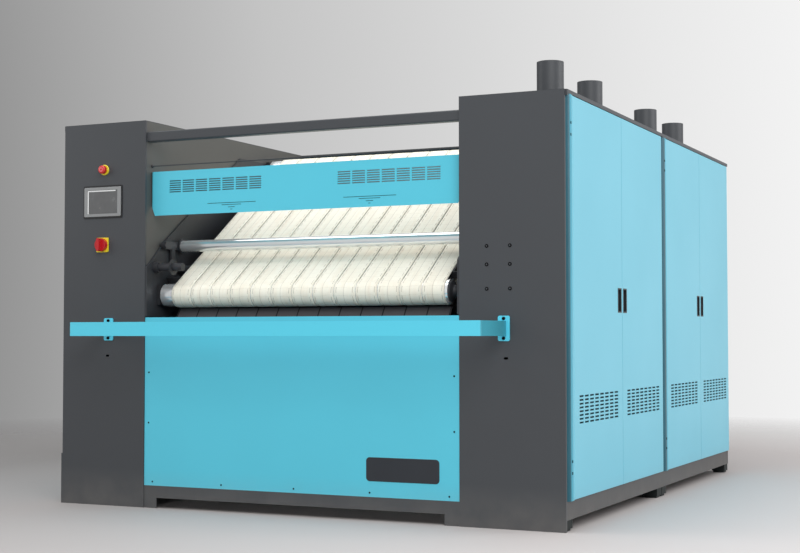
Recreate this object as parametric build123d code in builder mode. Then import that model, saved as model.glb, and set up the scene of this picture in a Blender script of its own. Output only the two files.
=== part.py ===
import os
from math import atan2, cos, pi, sin, sqrt, tan

from build123d import *

os.makedirs("parts", exist_ok=True)

# A flatwork ironer for a laundry: linen is laid on a sloping belt conveyor at the front, dropped behind
# it onto two padded rolls that turn in curved heated chests, and slides out at the back.
# Millimetres. X runs across the machine, Y from front to back, Z up from the floor.
# Depths written in this file are measured back from the front face of the columns.

# Overall sizes
body_width = 3080
module_depth = 1785
body_height = 2200
column_width = 570
rail_reach = 345
flue_rise = 180
flue_inset = 150

# Metal thicknesses
sheet = 3
side_thickness = 12
cheek_thickness = 12

# Frame
plinth_bottom = 58
plinth_top = 150
beam_width = 100
foot_length = 95
column_return = 11

# Side doors
door_proud = 11
door_depth = 25
door_skin = 2.5
door_seam = 4
hinge_gap = 6
hinge_inset = 12
hinge_pin_radius = 4
hinge_length = 18
post_front = 22
post_end = 93
roof_flange = 20
vent_rows = 8
vent_columns = 8
vent_slot = 66
vent_slot_height = 9.5
vent_column_pitch = 86
vent_row_pitch = 19
vent_bottom = 526
pull_width = 67
pull_height = 135
pull_centre = 1163
pull_edge = 48
pull_proud = 1.5

# Feed conveyor
roller_radius = 66
belt_thickness = 5
belt_count = 13
belt_pitch = 130.8
belt_gap = 3.8
belt_clearance = 0.3
belt_turns = 12
front_roller_depth = 158
front_roller_height = 1203
top_roller_before_seam = 401.5
top_roller_drop = 155
roller_shaft_radius = 20
running_clearance = 0.05

# Ironing rolls and chests
roll_radius = 370
padding_radius = 390
roll_wall = 12
roll_height = 1700
roll_set_back = 175
roll_pitch = 1000
journal_radius = 45
chest_clearance = 2
chest_thickness = 40

# Fittings on the columns
panel_from_bay = 294
rail_from_bay = 259
rail_height = 76
rail_bottom = 969
rail_thickness = 30

# Values that follow from the sizes above
half_width = body_width / 2
bay = half_width - column_width
body_depth = 2 * module_depth
front = rail_reach - (body_depth + rail_reach) / 2
roof_under = body_height - sheet
door_face = half_width + door_proud
panel_centre = bay + panel_from_bay
rail_corner = bay + rail_from_bay
flue_line = half_width - flue_inset
top_roller_depth = module_depth - top_roller_before_seam
flue_depths = [220, 880, module_depth + 220, module_depth + 880]
top_roller_height = body_height - top_roller_drop
slope = atan2(top_roller_height - front_roller_height, top_roller_depth - front_roller_depth)
belt_inner = (roller_radius + belt_clearance) / cos(pi / (2 * belt_turns))
belt_outer = belt_inner + belt_thickness
belt_half = bay - 120
roll_depths = [module_depth + roll_set_back, module_depth + roll_set_back + roll_pitch]
roll_half = bay - 30


def slab(x0, x1, y0, y1, z0, z1, mode=Mode.ADD):
    # A rectangular piece between two opposite corners
    with BuildSketch(Plane.XY.offset(z0)) as outline:
        with Locations(((x0 + x1) / 2, front + (y0 + y1) / 2)):
            Rectangle(x1 - x0, y1 - y0)
    extrude(outline.sketch, amount=z1 - z0, mode=mode)


def profile_across(points, x0, x1, mode=Mode.ADD):
    # An outline seen from the side, as depth and height, carried across from x0 to x1
    with BuildSketch(Plane(origin=(x0, front, 0), x_dir=(0, 1, 0), z_dir=(1, 0, 0))) as outline:
        with BuildLine():
            Polyline(*points, close=True)
        make_face()
    extrude(outline.sketch, amount=x1 - x0, mode=mode)


def rod_across(x0, x1, depth, height, radius, mode=Mode.ADD):
    # A round bar along X
    with BuildSketch(Plane(origin=(x0, front + depth, height), x_dir=(0, 1, 0), z_dir=(1, 0, 0))) as disc:
        Circle(radius)
    extrude(disc.sketch, amount=x1 - x0, mode=mode)


def prism_across(x0, x1, depth, height, radius, sides, mode=Mode.ADD):
    # A many-sided housing along X, standing on one of its flats
    with BuildSketch(Plane(origin=(x0, front + depth, height), x_dir=(0, 1, 0), z_dir=(1, 0, 0))) as outline:
        RegularPolygon(radius, sides, major_radius=False, rotation=180 / sides)
    extrude(outline.sketch, amount=x1 - x0, mode=mode)


def rod_up(x, depth, z0, z1, radius, mode=Mode.ADD):
    # A round bar along Z
    with BuildSketch(Plane.XY.offset(z0)) as disc:
        with Locations((x, front + depth)):
            Circle(radius)
    extrude(disc.sketch, amount=z1 - z0, mode=mode)


def rod_back(x, height, y0, y1, radius, mode=Mode.ADD):
    # A round bar along Y
    with BuildSketch(Plane(origin=(x, front + y0, height), x_dir=(1, 0, 0), z_dir=(0, 1, 0))) as disc:
        Circle(radius)
    extrude(disc.sketch, amount=y1 - y0, mode=mode)


def panel_back(x, height, width, tall, y0, y1, corner, mode=Mode.ADD):
    # A plate with rounded corners, facing the front
    with BuildSketch(Plane(origin=(x, front + y0, height), x_dir=(1, 0, 0), z_dir=(0, 1, 0))) as outline:
        RectangleRounded(width, tall, corner)
    extrude(outline.sketch, amount=y1 - y0, mode=mode)


def on_slope(along, above):
    # Depth and height of a point on the conveyor, measured from the front roller's centre
    depth = front_roller_depth + along * cos(slope) - above * sin(slope)
    height = front_roller_height + along * sin(slope) + above * cos(slope)
    return (depth, height)


def write(piece, name):
    piece.part.label = name
    export_step(piece.part, f"parts/{name}.step")


roller_spacing = sqrt(
    (top_roller_depth - front_roller_depth) ** 2 + (top_roller_height - front_roller_height) ** 2
)

# ---------------------------------------------------------------- base, feet and skirt
beam_lines = [(-half_width, -half_width + beam_width), (-bay - beam_width, -bay)]
beam_lines += [(bay, bay + beam_width), (half_width - beam_width, half_width)]
frame_face = sheet + column_return
skirt_half = bay
skirt_foot = 85


def base_frame(y0, y1):
    slab(-half_width, half_width, y0, y1, plinth_bottom, plinth_top)
    for (_, inner), (outer, _) in zip(beam_lines, beam_lines[1:]):
        slab(inner, outer, y0 + beam_width, y1 - beam_width, plinth_bottom, plinth_top, Mode.SUBTRACT)


with BuildPart() as base_frame_front:
    base_frame(frame_face, module_depth)
write(base_frame_front, "base_frame_front")

with BuildPart() as base_frame_rear:
    base_frame(module_depth, body_depth - frame_face)
write(base_frame_rear, "base_frame_rear")

foot_rows = [frame_face, module_depth - foot_length - 5]
foot_rows += [module_depth + 5, body_depth - frame_face - foot_length]
foot_inset = 5
with BuildPart() as levelling_feet:
    for left, right in beam_lines:
        for row in foot_rows:
            slab(left + foot_inset, right - foot_inset, row, row + foot_length, 12, plinth_bottom)
            slab(left + foot_inset + 8, right - foot_inset - 8, row + 8, row + foot_length - 8, 0, 12)
write(levelling_feet, "levelling_feet")

skirt_top = 126
with BuildPart() as skirt:
    slab(-skirt_half, skirt_half, 4, 4 + sheet, plinth_bottom, skirt_top)
    slab(-skirt_half, skirt_half, 4 + sheet, frame_face, skirt_top - sheet, skirt_top)
    for side in (-1, 1):
        edges = sorted((side * skirt_half, side * (skirt_half - skirt_foot)))
        slab(edges[0], edges[1], 4, 4 + sheet, 0, plinth_bottom)
write(skirt, "skirt")

# ---------------------------------------------------------------- inner side plates
side_hole = 60
feed_hole = 30


def side_plate(side):
    edges = sorted((side * bay, side * (bay + side_thickness)))
    slab(edges[0], edges[1], frame_face, body_depth - frame_face, plinth_top, roof_under)
    for depth in roll_depths:
        rod_across(edges[0], edges[1], depth, roll_height, side_hole, Mode.SUBTRACT)
    rod_across(edges[0], edges[1], top_roller_depth, top_roller_height, feed_hole, Mode.SUBTRACT)


with BuildPart() as side_plate_left:
    side_plate(-1)
write(side_plate_left, "side_plate_left")

with BuildPart() as side_plate_right:
    side_plate(1)
write(side_plate_right, "side_plate_right")

# ---------------------------------------------------------------- front and back columns
screen_width = 257
screen_height = 171
screen_centre = body_height - 457
stop_centre = body_height - 272
stop_line = panel_centre - 11
switch_centre = 1494
switch_width = 84
rail_plate_line = rail_corner - 13
rail_plate_centre = rail_bottom + rail_height / 2
column_slot_height = 856
column_slot_line = bay + 255
column_screw_lines = [bay + 152, bay + 278]
column_screw_heights = [1208, 1332, 1426]


def column(side, y0, y1, z0):
    # A tall panel bent back along both edges, with the face at y0 on the front and at y1 on the back
    inner, outer = bay, half_width
    face = (y0, y0 + sheet) if y0 == 0 else (y1 - sheet, y1)
    folds = (face[1], y1) if y0 == 0 else (y0, face[0])
    edges = sorted((side * inner, side * outer))
    slab(edges[0], edges[1], face[0], face[1], z0, roof_under)
    for x in (edges[0], edges[1] - sheet):
        slab(x, x + sheet, folds[0], folds[1], z0, roof_under)


def column_slot(side):
    with BuildSketch(
        Plane(origin=(side * column_slot_line, front, column_slot_height), x_dir=(1, 0, 0), z_dir=(0, 1, 0))
    ) as slot:
        SlotOverall(24, 12)
    extrude(slot.sketch, amount=sheet, mode=Mode.SUBTRACT)


shoe_height = 288
shoe_proud = 8
with BuildPart() as left_column:
    column(-1, 0, frame_face, 0)
    column_slot(-1)
    panel_back(-panel_centre, screen_centre, screen_width - 30, screen_height - 30, 0, sheet, 4, Mode.SUBTRACT)
    rod_back(-stop_line, stop_centre, 0, sheet, 11.5, Mode.SUBTRACT)
    rod_back(-panel_centre, switch_centre, 0, sheet, 11.5, Mode.SUBTRACT)
    slab(-half_width - shoe_proud, -half_width, 0, frame_face, 0, shoe_height)
write(left_column, "left_column")

with BuildPart() as right_column:
    column(1, 0, frame_face, 0)
    column_slot(1)
    for x in column_screw_lines:
        for z in column_screw_heights:
            rod_back(x, z, -2.5, 0, 7)
write(right_column, "right_column")

with BuildPart() as back_columns:
    for side in (-1, 1):
        column(side, body_depth - frame_face, body_depth, plinth_top)
write(back_columns, "back_columns")

# ---------------------------------------------------------------- roof and rear covers
roof_lip = 28


def roof(side, flue_holes):
    edges = sorted((side * bay, side * door_face))
    slab(edges[0], edges[1], post_front, body_depth, roof_under, body_height)
    nose = sorted((side * bay, side * half_width))
    slab(nose[0], nose[1], 0, post_front, roof_under, body_height)
    rim = sorted((side * (door_face - sheet), side * door_face))
    slab(rim[0], rim[1], post_front, body_depth, body_height - roof_flange, roof_under)
    lip = sorted((side * (door_face - sheet - roof_lip), side * (door_face - sheet)))
    slab(lip[0], lip[1], post_front, body_depth - frame_face, body_height - roof_flange,
         body_height - roof_flange + sheet)
    for depth in flue_holes:
        rod_up(flue_line, depth, roof_under, body_height, flue_bore, Mode.SUBTRACT)


flue_radius = 70
flue_bore = 68
with BuildPart() as roof_left:
    roof(-1, [])
write(roof_left, "roof_left")

with BuildPart() as roof_right:
    roof(1, flue_depths)
write(roof_right, "roof_right")

cover_front = module_depth + 45
with BuildPart() as rear_top_cover:
    slab(-bay, bay, cover_front, body_depth, roof_under, body_height)
    slab(-bay, bay, cover_front, cover_front + sheet, body_height - 14, roof_under)
    for x in (-bay, bay - sheet):
        slab(x, x + sheet, cover_front + sheet, body_depth - sheet, body_height - 14, roof_under)
    slab(-bay, bay, body_depth - sheet, body_depth, body_height - 14, roof_under)
write(rear_top_cover, "rear_top_cover")

delivery_height = 1000
with BuildPart() as rear_panel:
    slab(-bay, bay, body_depth - sheet, body_depth, plinth_top, delivery_height)
    slab(-bay, bay, body_depth - frame_face, body_depth - sheet, delivery_height - sheet, delivery_height)
write(rear_panel, "rear_panel")

with BuildPart() as exhaust_pipes:
    for depth in flue_depths:
        rod_up(flue_line, depth, body_height, body_height + sheet, flue_radius + 20)
        rod_up(flue_line, depth, body_height + sheet, body_height + flue_rise, flue_radius)
        rod_up(flue_line, depth, body_height, body_height + flue_rise, flue_bore, Mode.SUBTRACT)
write(exhaust_pipes, "exhaust_pipes")

fan_radius = 125
fan_height = 170
with BuildPart() as exhaust_fans:
    for depth in flue_depths:
        slab(flue_line - fan_radius, flue_line + fan_radius, depth - fan_radius, depth + fan_radius,
             roof_under - fan_height, roof_under)
        rod_up(flue_line, depth, roof_under - fan_height + 6, roof_under, flue_bore, Mode.SUBTRACT)
        slab(flue_line - 60, flue_line + 60, depth - 60, depth + 60, roof_under - fan_height - 120,
             roof_under - fan_height)
write(exhaust_fans, "exhaust_fans")

# ---------------------------------------------------------------- posts, side covers and doors
door_top = body_height - roof_flange - door_seam
door_bottom = plinth_top + door_seam
post_back = half_width - 40


def post(side, start):
    # A folded box post with a rounded front edge that curves out to the plane of the doors
    nose = 30
    inner = side * post_back
    outer = side * door_face
    edge = side * (door_face - nose)
    with BuildSketch(Plane.XY.offset(plinth_top)) as outline:
        with BuildLine():
            RadiusArc(
                (edge, front + start + post_front), (outer, front + start + post_front + nose), side * -nose
            )
            Polyline(
                (outer, front + start + post_front + nose),
                (outer, front + start + post_end),
                (inner, front + start + post_end),
                (inner, front + start + post_front),
                (edge, front + start + post_front),
            )
        make_face()
        offset(amount=-sheet, mode=Mode.SUBTRACT)
    extrude(outline.sketch, amount=body_height - roof_flange - plinth_top)


def screw_out(side, depth, height, radius=5, proud=pull_proud):
    start = side * door_face if side > 0 else side * door_face - proud
    rod_across(start, start + proud, depth, height, radius)


post_screws = [plinth_top + 137, plinth_top + 195, body_height - 222, body_height - 162]
for start, module_name in ((0, "front"), (module_depth, "rear")):
    for side, side_name in ((-1, "left"), (1, "right")):
        with BuildPart() as side_post:
            post(side, start)
            for height in post_screws:
                screw_out(side, start + (post_front + post_end) / 2 + 10, height)
        write(side_post, f"post_{side_name}_{module_name}")


def pan(side, y0, y1, z0, z1):
    # A panel folded back along all four edges
    outer = side * door_face
    inner = side * (door_face - door_depth)
    back = side * (door_face - door_skin)
    wall = sorted((inner, outer))
    cavity = sorted((inner, back))
    slab(wall[0], wall[1], y0, y1, z0, z1)
    slab(cavity[0], cavity[1], y0 + door_skin, y1 - door_skin, z0 + door_skin, z1 - door_skin,
         Mode.SUBTRACT)


def vents(side, first, rows, columns, slot, pitch):
    # Level louvre slots through the skin, in rows above the vent's bottom edge
    back = side * (door_face - door_skin)
    plane = Plane(origin=(min(back, side * door_face), front, 0), x_dir=(0, 1, 0), z_dir=(1, 0, 0))
    with BuildSketch(plane) as slots:
        for row in range(rows):
            for step in range(columns):
                with Locations((first + slot / 2 + step * pitch,
                                vent_bottom + vent_slot_height / 2 + row * vent_row_pitch)):
                    Rectangle(slot, vent_slot_height)
    extrude(slots.sketch, amount=door_skin, mode=Mode.SUBTRACT)


door_spans = []
door_middle = post_end + (module_depth - post_end) / 2
for start in (0, module_depth):
    last = min(start + module_depth, body_depth - frame_face) - hinge_gap
    door_spans.append((start + post_end + hinge_gap, start + door_middle - door_seam / 2, "front"))
    door_spans.append((start + door_middle + door_seam / 2, last, "rear"))

cup_depth = 16
cup_wall = 2
cup_rim = 5
cup_fit = 0.3
for number, (y0, y1, hinged) in enumerate(door_spans, start=1):
    pin_depth = y0 + hinge_inset if hinged == "front" else y1 - hinge_inset
    pull_depth = y1 - pull_edge if hinged == "front" else y0 + pull_edge
    vent_first = y0 + (y1 - y0 - (vent_columns - 1) * vent_column_pitch - vent_slot) / 2
    hinge_edge = y0 if hinged == "front" else y1
    with BuildPart() as door:
        pan(1, y0, y1, door_bottom, door_top)
        corner = (
            door.edges()
            .filter_by(Axis.Z)
            .filter_by_position(Axis.X, door_face - 0.1, door_face + 0.1)
            .filter_by_position(Axis.Y, front + hinge_edge - 0.1, front + hinge_edge + 0.1)
        )
        fillet(corner, radius=6)
        vents(1, vent_first, vent_rows, vent_columns, vent_slot, vent_column_pitch)
        slab(door_face - door_skin, door_face, pull_depth - pull_width / 2 + cup_rim - cup_fit,
             pull_depth + pull_width / 2 - cup_rim + cup_fit, pull_centre - pull_height / 2 + cup_rim - cup_fit,
             pull_centre + pull_height / 2 - cup_rim + cup_fit, Mode.SUBTRACT)
        for height in (door_bottom, door_top - door_skin):
            rod_up(door_face - hinge_inset - 3, pin_depth, height, height + door_skin,
                   hinge_pin_radius + running_clearance, Mode.SUBTRACT)
    write(door, f"door_{number}")

    with BuildPart() as door_pull:
        slab(door_face, door_face + pull_proud, pull_depth - pull_width / 2, pull_depth + pull_width / 2,
             pull_centre - pull_height / 2, pull_centre + pull_height / 2)
        slab(door_face - cup_depth, door_face, pull_depth - pull_width / 2 + cup_rim,
             pull_depth + pull_width / 2 - cup_rim, pull_centre - pull_height / 2 + cup_rim,
             pull_centre + pull_height / 2 - cup_rim)
        slab(door_face - cup_depth + cup_wall, door_face + pull_proud,
             pull_depth - pull_width / 2 + cup_rim + cup_wall, pull_depth + pull_width / 2 - cup_rim - cup_wall,
             pull_centre - pull_height / 2 + cup_rim + cup_wall,
             pull_centre + pull_height / 2 - cup_rim - cup_wall, Mode.SUBTRACT)
    write(door_pull, f"door_pull_{number}")

with BuildPart() as hinge_pins:
    for y0, y1, hinged in door_spans:
        pin_depth = y0 + hinge_inset if hinged == "front" else y1 - hinge_inset
        line = door_face - hinge_inset - 3
        rod_up(line, pin_depth, plinth_top, door_bottom, 8)
        rod_up(line, pin_depth, door_bottom, plinth_top + hinge_length, hinge_pin_radius)
        rod_up(line, pin_depth, body_height - roof_flange - hinge_length, body_height - roof_flange,
               hinge_pin_radius)
write(hinge_pins, "hinge_pins")

cover_slot = 300
cover_pitch = 350
with BuildPart() as side_covers:
    for y0, y1, _ in door_spans:
        pan(-1, y0, y1, plinth_top, body_height - roof_flange)
        first = y0 + (y1 - y0 - cover_pitch - cover_slot) / 2
        vents(-1, first, vent_rows, 2, cover_slot, cover_pitch)
        for depth in (y0 + 20, y1 - 20):
            for height in (plinth_top + 30, body_height - roof_flange - 30):
                screw_out(-1, depth, height, 7)
write(side_covers, "side_covers")

# ---------------------------------------------------------------- front panel, hood and top bar
panel_top = 1074
panel_gap = 2
panel_return = 32
with BuildPart() as front_panel:
    slab(-bay + panel_gap, bay - panel_gap, 4, 4 + sheet, skirt_top, panel_top)
    slab(-bay + panel_gap, bay - panel_gap, 4 + sheet, panel_return, panel_top - sheet, panel_top)
    slab(-bay + panel_gap, bay - panel_gap, 4 + sheet, frame_face, skirt_top, skirt_top + sheet)
    for side in (-1, 1):
        edges = sorted((side * (bay - panel_gap - sheet), side * (bay - panel_gap)))
        slab(edges[0], edges[1], 4 + sheet, 60, skirt_top + 30, panel_top - sheet)
        lugs = sorted((side * (bay - panel_gap), side * bay))
        slab(lugs[0], lugs[1], frame_face + 5, 60, panel_top - 100, panel_top - 40)
write(front_panel, "front_panel")

hood_front = 55
hood_back = 190
hood_bottom = body_height - 544
hood_top = body_height - 292
hood_half = bay - 2
hood_corner = 15
hood_cut_width = 26
hood_cut_height = 64
hood_slot = 77
hood_slot_pitch = 88
hood_slot_start = 238
hood_slot_columns = 7
hood_rows = 6
hood_row_pitch = 12.5
hood_slot_height = 6.5
hood_vent_top = body_height - 346
with BuildPart() as hood:
    with BuildSketch(Plane.XY.offset(hood_bottom)) as hood_plan:
        with Locations((0, front + (hood_front + hood_back) / 2)):
            Rectangle(2 * hood_half, hood_back - hood_front)
        fillet(hood_plan.vertices().group_by(Axis.Y)[0], hood_corner)
    extrude(amount=hood_top - hood_bottom)
    with BuildSketch(Plane.XY.offset(hood_bottom)) as hood_hollow:
        with Locations((0, front + (hood_front + sheet + hood_back) / 2)):
            Rectangle(2 * (hood_half - sheet), hood_back - hood_front - sheet)
        fillet(hood_hollow.vertices().group_by(Axis.Y)[0], hood_corner - sheet)
    extrude(amount=hood_top - hood_bottom - sheet, mode=Mode.SUBTRACT)
    for side in (-1, 1):
        with BuildSketch(Plane(origin=(0, front + hood_front, 0), x_dir=(1, 0, 0), z_dir=(0, 1, 0))) as cut:
            with BuildLine():
                Polyline(
                    (side * hood_half, -(hood_bottom + hood_cut_height)),
                    (side * (hood_half - hood_cut_width), -hood_bottom),
                    (side * hood_half, -hood_bottom),
                    close=True,
                )
            make_face()
        extrude(cut.sketch, amount=hood_back - hood_front, mode=Mode.SUBTRACT)
    with BuildSketch(Plane(origin=(0, front + hood_front, 0), x_dir=(1, 0, 0), z_dir=(0, -1, 0))) as hood_slots:
        for side in (-1, 1):
            for column_number in range(hood_slot_columns):
                for row in range(hood_rows):
                    with Locations((side * (hood_slot_start + hood_slot / 2 + column_number * hood_slot_pitch),
                                    hood_vent_top - hood_slot_height / 2 - row * hood_row_pitch)):
                        Rectangle(hood_slot, hood_slot_height)
    extrude(hood_slots.sketch, amount=-sheet, mode=Mode.SUBTRACT)
    for side in (-1, 1):
        edges = sorted((side * hood_half, side * bay))
        slab(edges[0], edges[1], hood_back - 50, hood_back - 10, hood_top - 120, hood_top - 40)
write(hood, "hood")

bar_size = 57
bar_top = body_height - 65
with BuildPart() as top_bar:
    with BuildSketch(Plane(origin=(-bay, front, 0), x_dir=(0, 1, 0), z_dir=(1, 0, 0))) as bar_section:
        with Locations((frame_face + bar_size / 2, bar_top - bar_size / 2)):
            RectangleRounded(bar_size, bar_size, 8)
            RectangleRounded(bar_size - 8, bar_size - 8, 4, mode=Mode.SUBTRACT)
    extrude(bar_section.sketch, amount=2 * bay)
write(top_bar, "top_bar")

# ---------------------------------------------------------------- safety rail
rail_plate_width = 64
rail_plate_height = 128
rail_plate_thickness = 6
with BuildPart() as guard_rail:
    with BuildSketch(Plane.XY.offset(rail_bottom)) as rail_plan:
        with Locations((0, front + (-rail_reach - rail_plate_thickness) / 2)):
            Rectangle(2 * rail_corner, rail_reach - rail_plate_thickness)
        fillet(rail_plan.vertices().group_by(Axis.Y)[0], 10)
        with BuildSketch(Plane.XY.offset(rail_bottom), mode=Mode.SUBTRACT) as rail_inside:
            with Locations((0, front + (-rail_reach + rail_thickness - rail_plate_thickness) / 2)):
                Rectangle(
                    2 * (rail_corner - rail_thickness), rail_reach - rail_thickness - rail_plate_thickness
                )
            fillet(rail_inside.vertices().group_by(Axis.Y)[0], 4)
    extrude(amount=rail_height)
    for side in (-1, 1):
        panel_back(side * rail_plate_line, rail_plate_centre, rail_plate_width, rail_plate_height,
                   -rail_plate_thickness, 0, 10)
        for offset_up in (-50, 50):
            rod_back(side * rail_plate_line, rail_plate_centre + offset_up, -rail_plate_thickness - 4,
                     -rail_plate_thickness, 7)
write(guard_rail, "guard_rail")

# ---------------------------------------------------------------- feed conveyor
cheek_front = 2
cheek_bottom = 1080
cheek_nose = 1360
cheek_step = 60
cheek_back = top_roller_depth + 117
cheek_top = body_height - 110
edge_rise = 184
belt_above = belt_outer / cos(slope)
nose_top = front_roller_height + tan(slope) * (cheek_step - front_roller_depth) + belt_above + edge_rise
cheek_knee = 186
knee_rise = 115
knee_top = nose_top + knee_rise
slope_end = cheek_knee + (cheek_top - knee_top) / tan(slope)
cheek_lower = cheek_back - 230
pivot_pin = 9
tube_radius = 34
pivot_along = 158
pivot_above = 243
tube_along = 303
tube_above = 146
pivot_depth, pivot_height = on_slope(pivot_along, pivot_above)
cheek_points = [
    (cheek_front, cheek_bottom),
    (cheek_front, cheek_nose),
    (cheek_step, nose_top),
    (cheek_knee, knee_top),
    (slope_end, cheek_top),
    (cheek_back, cheek_top),
    (cheek_back, cheek_bottom + cheek_lower * tan(slope)),
    (230, cheek_bottom),
]
for side, side_name in ((-1, "left"), (1, "right")):
    edges = sorted((side * (bay - cheek_thickness), side * bay))
    with BuildPart() as cheek:
        profile_across(cheek_points, edges[0], edges[1])
        rod_across(edges[0], edges[1], pivot_depth, pivot_height, pivot_pin + running_clearance,
                   Mode.SUBTRACT)
        rod_across(edges[0], edges[1], front_roller_depth, front_roller_height, feed_hole, Mode.SUBTRACT)
        rod_across(edges[0], edges[1], top_roller_depth, top_roller_height, feed_hole, Mode.SUBTRACT)
    write(cheek, f"cheek_{side_name}")

bed_top = belt_inner - belt_clearance - 0.7
bed_start = roller_radius + 24
bed_end = roller_spacing - roller_radius - 24
bed_points = [on_slope(bed_start, bed_top), on_slope(bed_end, bed_top)]
bed_points += [on_slope(bed_end, bed_top - 40), on_slope(bed_end - sheet, bed_top - 40)]
bed_points += [on_slope(bed_end - sheet, bed_top - sheet), on_slope(bed_start + sheet, bed_top - sheet)]
bed_points += [on_slope(bed_start + sheet, bed_top - 40), on_slope(bed_start, bed_top - 40)]
bed_half = belt_half + 5
plate_reach = 66
plate_fall = 95
plate_behind = 26
plate_gap = 6
plate_hem_reach = 20
plate_slant = 2
with BuildPart() as feed_bed:
    profile_across(bed_points, -bed_half, bed_half)
    for along in (bed_start, bed_end - sheet):
        ends = [on_slope(along, bed_top), on_slope(along + sheet, bed_top)]
        ends += [on_slope(along + sheet, bed_top - 40), on_slope(along, bed_top - 40)]
        profile_across(ends, -bay + cheek_thickness, bay - cheek_thickness)
    # A plate below the front roller, on a hem that reaches the side plates
    plate_head = (front_roller_depth + plate_behind, front_roller_height - belt_outer - plate_gap)
    plate_foot = (plate_head[0] - plate_reach, plate_head[1] - plate_fall)
    plate_hem = (plate_foot[0] + plate_hem_reach, plate_foot[1] + plate_hem_reach * plate_fall / plate_reach)
    for low, high, reach in ((plate_foot, plate_hem, bay), (plate_hem, plate_head, bed_half)):
        under = [(high[0] + sheet, high[1] - plate_slant), (low[0] + sheet, low[1] - plate_slant)]
        profile_across([low, high, *under], -reach, reach)
write(feed_bed, "feed_bed")

bearing_thickness = 22
bearing_size = 110
shaft_end = bay - cheek_thickness / 2
roller_half = bay - cheek_thickness - bearing_thickness - 8
front_roller_right = belt_half + 13
with BuildPart() as front_roller:
    rod_across(-roller_half, front_roller_right, front_roller_depth, front_roller_height, roller_radius)
    rod_across(-shaft_end, shaft_end, front_roller_depth, front_roller_height, roller_shaft_radius)
write(front_roller, "front_roller")

motor_inner = bay + side_thickness
motor_shaft_end = motor_inner + 130
with BuildPart() as top_roller:
    rod_across(-roller_half, roller_half, top_roller_depth, top_roller_height, roller_radius)
    rod_across(-motor_shaft_end, shaft_end, top_roller_depth, top_roller_height, roller_shaft_radius)
write(top_roller, "top_roller")


def take_up(side, depth, height):
    # A bearing block bolted to the inner face of a cheek, with its tensioning screw
    edges = sorted((side * (bay - cheek_thickness), side * (bay - cheek_thickness - bearing_thickness)))
    half = bearing_size / 2
    slab(edges[0], edges[1], depth - half, depth + half, height - half, height + half)
    rod_across(edges[0], edges[1], depth, height, roller_shaft_radius + running_clearance, Mode.SUBTRACT)


with BuildPart() as feed_bearings:
    for side in (-1, 1):
        take_up(side, front_roller_depth, front_roller_height)
        take_up(side, top_roller_depth, top_roller_height)
write(feed_bearings, "feed_bearings")

belt_width = belt_pitch - belt_gap
slope_plane = Plane(
    origin=(0, front + front_roller_depth, front_roller_height),
    x_dir=(0, cos(slope), sin(slope)),
    z_dir=(1, 0, 0),
)
first_belt = -belt_pitch * (belt_count - 1) / 2


def belt_loop(radius):
    # Round the front roller, back below it, and round the top roller
    points = []
    for centre, first in ((0, pi / 2), (roller_spacing, -pi / 2)):
        for step in range(belt_turns + 1):
            angle = first + pi * step / belt_turns
            points.append((centre + radius * cos(angle), radius * sin(angle)))
    return points


with BuildPart() as feed_belts:
    for number in range(belt_count):
        left = first_belt + number * belt_pitch - belt_width / 2
        with BuildSketch(slope_plane.offset(left)) as loop:
            Polygon(*belt_loop(belt_outer), align=None)
            Polygon(*belt_loop(belt_inner), align=None, mode=Mode.SUBTRACT)
        extrude(loop.sketch, amount=belt_width)
write(feed_belts, "feed_belts")

# ---------------------------------------------------------------- guard shaft and finger guard
shaft_radius = 22.5
shaft_along = 220
shaft_above = 38
shaft_depth, shaft_height = on_slope(shaft_along, shaft_above)
stub_depth = 85
stub_height = 1361
stub_length = 190
nut_length = 34
ring_radius = 45
ring_inset = 122
ring_thickness = 4
cheek_face = bay - cheek_thickness
with BuildPart() as guard_shaft:
    rod_across(-cheek_face, cheek_face, shaft_depth, shaft_height, shaft_radius)
    rod_across(-cheek_face, -cheek_face + stub_length, stub_depth, stub_height, shaft_radius)
    rod_across(-cheek_face, -cheek_face + nut_length, stub_depth, stub_height, shaft_radius + 9)
    ring_line = -cheek_face + ring_inset
    rod_across(ring_line, ring_line + ring_thickness, stub_depth, stub_height, ring_radius)
write(guard_shaft, "guard_shaft")

tube_depth, tube_height = on_slope(tube_along, tube_above)
tube_wall = 4
tube_plug = 12
tube_pin = 14
arm_thickness = 12
arm_gap = 10
arm_width = 44
clamp_width = 10
clamp_wall = 9
knob_length = 16
leg_set_back = 86
leg_width = 36
leg_drop = 89
arm_outer = cheek_face - arm_gap
arm_inner = arm_outer - arm_thickness
tube_half = arm_inner - clamp_width
with BuildPart() as guard_arms:
    for side in (-1, 1):
        faces = sorted((side * arm_inner, side * arm_outer))
        with BuildSketch(Plane(origin=(faces[0], front, 0), x_dir=(0, 1, 0), z_dir=(1, 0, 0))) as arm:
            SlotCenterPoint(
                ((pivot_depth + tube_depth) / 2, (pivot_height + tube_height) / 2),
                (tube_depth, tube_height),
                arm_width,
            )
            with Locations((pivot_depth + leg_set_back, pivot_height - leg_drop / 2)):
                Rectangle(leg_width, leg_drop)
        extrude(arm.sketch, amount=arm_thickness)
        clamp = sorted((side * arm_inner, side * (arm_inner - clamp_width)))
        rod_across(clamp[0], clamp[1], tube_depth, tube_height, tube_radius + clamp_wall)
        knob = sorted((side * arm_inner, side * (arm_inner - knob_length)))
        rod_across(knob[0], knob[1], pivot_depth, pivot_height, arm_width / 2 - 2)
        bore = sorted((side * tube_half, side * arm_outer))
        rod_across(bore[0], bore[1], tube_depth, tube_height, tube_pin + running_clearance, Mode.SUBTRACT)
        pin = sorted((side * arm_outer, side * (bay - 2)))
        rod_across(pin[0], pin[1], pivot_depth, pivot_height, pivot_pin)
write(guard_arms, "guard_arms")

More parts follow.
